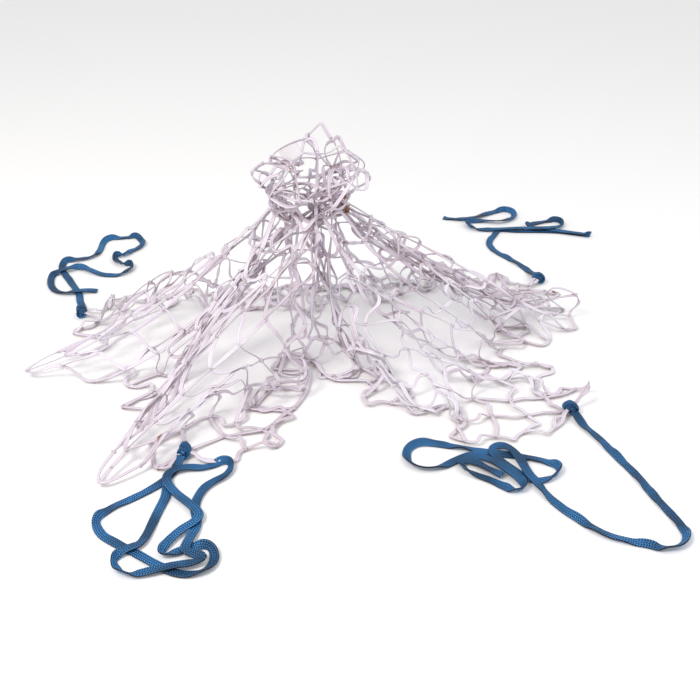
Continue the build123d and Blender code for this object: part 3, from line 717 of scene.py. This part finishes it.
def makeCord(name, places, rings, number):
    rng = random.Random(9100 + number)
    across, out = braidProfile(cordShape["width"], cordShape["thick"], netLook["rows"], cordShape["around"],
                               cordShape["groove"])
    points, uvs, faces, first, runSoFar = [], [], [], 0, 0.0
    # the way the cord runs through each of its knots
    places = np.array(places)
    stray = np.array([[rng.gauss(0, 1) for c in range(3)] for p in places])
    through = unit(np.gradient(places, axis=0) + cordShape["stray"] * stray)
    through[places[:, 2] < cordShape["nearFloor"], 2] *= cordShape["floorThrough"]
    for start, end, leave, arrive, ring in zip(places, places[1:], through, through[1:], rings):
        line, turn = bowedBar(start, end, leave, arrive, rng, ring)
        if line[:, 2].min() < cordShape["lieFlat"]:
            turn = turn * cordShape["flatRoll"]
        w, n = cordRing(line, turn)
        lowest = (np.abs(w[:, 2]) * cordShape["width"] + np.abs(n[:, 2]) * cordShape["thick"]) / 2
        lowest = lowest + cordShape["clear"]
        line[:, 2] = np.maximum(line[:, 2], lowest)
        run = alongPath(line)
        points.append((line[:, None] + w[:, None] * across[None, :, None]
                       + n[:, None] * out[None, :, None]).reshape(-1, 3))
        uvs.append(np.stack([np.repeat((runSoFar + run)[:, None] * 1000, len(across), 1),
                             np.repeat(across[None] * 1000, len(line), 0)], axis=-1).reshape(-1, 2))
        faces += tubeFaces(len(line), len(across), first)
        first += len(line) * len(across)
        runSoFar += run[-1]
    obj = meshObject(name, np.concatenate(points), faces, netCord, np.concatenate(uvs))
    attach(obj, "root")
    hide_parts(name.replace("net_", "", 1))


def ringOf(i, j):
    return max(abs(i - cells / 2), abs(j - cells / 2))


for number in range(cells + 1):
    kind = "edge" if number in (0, cells) else "cord"
    for way in ("lengthwise", "crosswise"):
        spots = [(number, k) if way == "lengthwise" else (k, number) for k in range(cells + 1)]
        makeCord(f"net_{kind}_{way}_{number:02d}", [knots[s] for s in spots],
                 [min(ringOf(*a), ringOf(*b)) for a, b in zip(spots, spots[1:])],
                 number * 2 + (way == "crosswise"))
print("scene: cords made")

# A net knot: one cord goes round the other, which leaves a small three-lobed lump.
knotShape = {"size": 0.0025, "thick": 0.0018, "around": 6, "along": 27, "depth": 1.3, "flatter": 1.15,
             "smallest": 0.9, "largest": 1.12, "uvAlong": 1.4, "uvAround": 1.1, "seed": 77}


def makeKnots():
    t = np.linspace(0, 2 * np.pi, knotShape["along"], endpoint=False)
    size = knotShape["size"]
    loop = np.stack([np.sin(t) + 2 * np.sin(2 * t), np.cos(t) - 2 * np.cos(2 * t),
                     -knotShape["depth"] * np.sin(3 * t)], 1)
    loop *= size / 2.4                   # the loop above reaches 3 from its middle
    tangent = unit(np.roll(loop, -1, axis=0) - np.roll(loop, 1, axis=0))
    normal = unit(np.cross(tangent, [0.2, 0.1, 1.0]))
    other = np.cross(tangent, normal)
    a = np.linspace(0, 2 * np.pi, knotShape["around"], endpoint=False)
    shell = (loop[:, None] + normal[:, None] * (knotShape["thick"] * np.cos(a))[None, :, None]
             + other[:, None] * (knotShape["thick"] * knotShape["flatter"] * np.sin(a))[None, :, None])
    n, m = knotShape["along"], knotShape["around"]
    shell = shell.reshape(-1, 3)
    k = np.arange(n)[:, None] * m + np.arange(m)[None]
    quads = np.stack([k, np.roll(k, -1, axis=1), np.roll(np.roll(k, -1, axis=1), -1, axis=0),
                      np.roll(k, -1, axis=0)], axis=-1).reshape(-1, 4)
    uv = np.stack([np.repeat(np.arange(n)[:, None] * knotShape["uvAlong"], m, 1),
                   np.repeat(a[None] * knotShape["uvAround"], n, 0)], -1).reshape(-1, 2)
    rng = random.Random(knotShape["seed"])
    points, faces, uvs, count = [], [], [], 0
    for (i, j), place in sorted(knots.items()):
        if i in (0, cells) and j in (0, cells):
            continue
        axis = unit(np.array([rng.gauss(0, 1), rng.gauss(0, 1), rng.gauss(0, 1)]))
        angle = rng.uniform(0, fullTurn)
        c, s = math.cos(angle), math.sin(angle)
        x, y, z = axis
        turn = np.array([[c + x * x * (1 - c), x * y * (1 - c) - z * s, x * z * (1 - c) + y * s],
                         [y * x * (1 - c) + z * s, c + y * y * (1 - c), y * z * (1 - c) - x * s],
                         [z * x * (1 - c) - y * s, z * y * (1 - c) + x * s, c + z * z * (1 - c)]])
        p = shell @ turn.T * rng.uniform(knotShape["smallest"], knotShape["largest"]) + place
        p[:, 2] = np.maximum(p[:, 2], floorGap)
        points.append(p)
        faces.append(quads + count)
        uvs.append(uv)
        count += len(shell)
    obj = meshObject("net_knot_lumps", np.concatenate(points), np.concatenate(faces), netCord,
                     np.concatenate(uvs))
    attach(obj, "root")
    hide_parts("net_knots")


makeKnots()
print("scene: knots made")

# Blank cloth label that hangs folded over one bar of the crown and stitched, drawn as one thin sheet. It
# curls a little.
labelShape = {"wide": 0.036, "tall": 0.027, "thick": 0.0007, "columns": 25, "rows": 19,
              "curl": 0.003, "cup": 1.6}                # height of the curl, cupping against twist


def makeLabel():
    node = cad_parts["blank_label"]
    co = np.array([v.co for v in node.data.vertices])
    middle = (co.min(axis=0) + co.max(axis=0)) / 2
    values, axes = np.linalg.eigh(np.cov((co - co.mean(axis=0)).T))
    out, down, right = axes[:, 0], axes[:, 1], axes[:, 2]
    right = right if right[0] > 0 else -right
    out = out if out[1] < 0 else -out
    down = np.cross(right, out)
    columns, rows = labelShape["columns"], labelShape["rows"]
    u = np.linspace(-0.5, 0.5, columns)
    v = np.linspace(-0.5, 0.5, rows)
    grid = []
    for side in (1, -1):
        for b in v:
            for a in u:
                lift = labelShape["curl"] * (2 * a * b + labelShape["cup"] * a * a)
                lift = lift + side * labelShape["thick"] / 2
                grid.append(middle + right * a * labelShape["wide"] + down * b * labelShape["tall"]
                            + out * lift)
    faces = []
    size = columns * rows
    for r in range(rows - 1):
        for c in range(columns - 1):
            k = r * columns + c
            faces.append((k, k + 1, k + columns + 1, k + columns))
            faces.append((size + k, size + k + columns, size + k + columns + 1, size + k + 1))
    rim = (list(range(columns)) + [r * columns + columns - 1 for r in range(1, rows)]
           + [(rows - 1) * columns + c for c in range(columns - 2, -1, -1)]
           + [r * columns for r in range(rows - 2, 0, -1)])
    for a, b in zip(rim, rim[1:] + rim[:1]):
        faces.append((b, a, size + a, size + b))
    uvs = [(a * labelShape["wide"] * 1000, b * labelShape["tall"] * 1000)
           for side in (1, -1) for b in v for a in u]
    obj = meshObject("label", grid, faces, labelCloth, uvs)
    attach(obj, "root")
    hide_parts("blank_label")


makeLabel()
print("scene: label made")

# Plain pale floor, a warm key from the left, a cool fill from the right and an even white sky.
studio = {"floor": "#FAFAFA", "floorRough": 0.9, "floorReach": 6, "sky": "#FFFFFF", "skyPower": 0.8}


def makeFloor():
    material, tree, shader = newMaterial("studio_floor")
    shader.inputs["Base Color"].default_value = linear(studio["floor"])
    shader.inputs["Roughness"].default_value = studio["floorRough"]
    mesh = bpy.data.meshes.new("floor")
    far = studio["floorReach"]
    mesh.from_pydata([(-far, -far, 0), (far, -far, 0), (far, far, 0), (-far, far, 0)], [], [(0, 1, 2, 3)])
    mesh.materials.append(material)
    floor = bpy.data.objects.new("floor", mesh)
    bpy.context.scene.collection.objects.link(floor)


def addArea(name, place, size, power, colour, aim=(0, 0, 0.1)):
    data = bpy.data.lights.new(name, "AREA")
    data.size = size
    data.energy = power
    data.color = linear(colour)[:3]
    lamp = bpy.data.objects.new(name, data)
    lamp.location = place
    lamp.rotation_euler = (Vector(aim) - Vector(place)).to_track_quat("-Z", "Y").to_euler()
    bpy.context.scene.collection.objects.link(lamp)


makeFloor()
addArea("key", (-1.2, -1.5, 2.4), 0.9, 44, "#FFF9F4")
addArea("fill", (1.9, -0.8, 1.8), 1.6, 10, "#F2F5FF")
world = bpy.data.worlds.new("studio")
world.use_nodes = True
world.node_tree.nodes["Background"].inputs[0].default_value = linear(studio["sky"])
world.node_tree.nodes["Background"].inputs[1].default_value = studio["skyPower"]
bpy.context.scene.world = world
bpy.context.scene.view_settings.view_transform = "Standard"
print("scene: floor and light ready")
